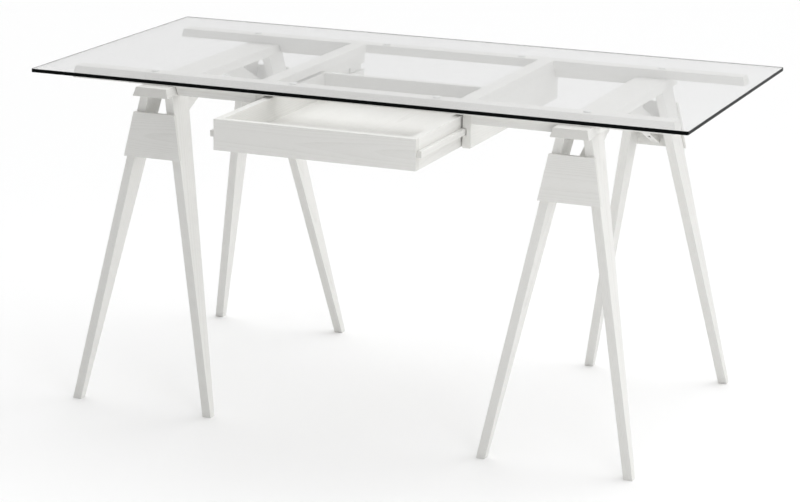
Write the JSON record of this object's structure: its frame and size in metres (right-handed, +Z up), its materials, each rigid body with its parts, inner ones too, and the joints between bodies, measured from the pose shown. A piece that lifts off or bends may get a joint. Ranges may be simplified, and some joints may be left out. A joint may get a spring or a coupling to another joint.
{
  "type": "drafting table",
  "caption": "Glass-topped drafting table on white-stained ash trestles, with splayed tapering legs and a wooden drawer drawn part open.",
  "frame": {"origin": "on the floor, under the middle of the whole footprint with the drawer drawn out; the middle of the glass is 74.5 mm behind it", "axes": "+X along the table to the sitter's right, +Y from the sitter to the back, +Z up"},
  "size_m": [1.5, 0.899, 0.744],
  "materials": {
    "tempered_glass": "clear tempered glass with polished edges",
    "clear_pad": "milky soft plastic",
    "ash_long": "white-stained, satin lacquer, grain showing",
    "ash_cross": "white-stained, satin lacquer, grain showing",
    "ash_runner": "white-stained, satin lacquer, grain showing",
    "ash_base": "white-stained, satin lacquer, grain showing",
    "ash_leg": "white-stained, satin lacquer, grain showing",
    "ash_brace": "white-stained, satin lacquer, grain showing",
    "beech_dowel": "plain unfinished",
    "black_steel": "black zinc plated"
  },
  "bodies": {
    "desk": {"glass_top": "tempered_glass", "glass_pads": "clear_pad", "front_rail": "ash_long", "back_rail": "ash_long", "front_left_strip": "ash_long", "front_right_strip": "ash_long", "back_left_strip": "ash_long", "back_right_strip": "ash_long", "left_trestle_front_gusset": "ash_long", "left_trestle_back_gusset": "ash_long", "right_trestle_front_gusset": "ash_long", "right_trestle_back_gusset": "ash_long", "left_cross_rail": "ash_cross", "right_cross_rail": "ash_cross", "left_drawer_panel": "ash_cross", "right_drawer_panel": "ash_cross", "left_trestle_beam": "ash_cross", "right_trestle_beam": "ash_cross", "left_drawer_stop": "ash_runner", "right_drawer_stop": "ash_runner", "left_trestle_front_left_leg": "ash_leg", "left_trestle_front_right_leg": "ash_leg", "left_trestle_back_left_leg": "ash_leg", "left_trestle_back_right_leg": "ash_leg", "right_trestle_front_left_leg": "ash_leg", "right_trestle_front_right_leg": "ash_leg", "right_trestle_back_left_leg": "ash_leg", "right_trestle_back_right_leg": "ash_leg", "left_trestle_front_brace": "ash_brace", "left_trestle_back_brace": "ash_brace", "right_trestle_front_brace": "ash_brace", "right_trestle_back_brace": "ash_brace", "cross_rail_dowels": "beech_dowel", "panel_dowels": "beech_dowel", "leg_dowels": "beech_dowel", "strip_dowels": "beech_dowel", "brace_screws": "black_steel"},
    "drawer": {"drawer_front": "ash_long", "drawer_back": "ash_long", "drawer_base": "ash_base", "drawer_left_side": "ash_cross", "drawer_right_side": "ash_cross", "drawer_left_runner": "ash_runner", "drawer_right_runner": "ash_runner"}
  },
  "joints": [
    {"name": "drawer_slide", "type": "slide", "parent": "desk", "child": "drawer", "axis": [0, -1, 0], "range_m": [-0.248, 0.12]}
  ]
}
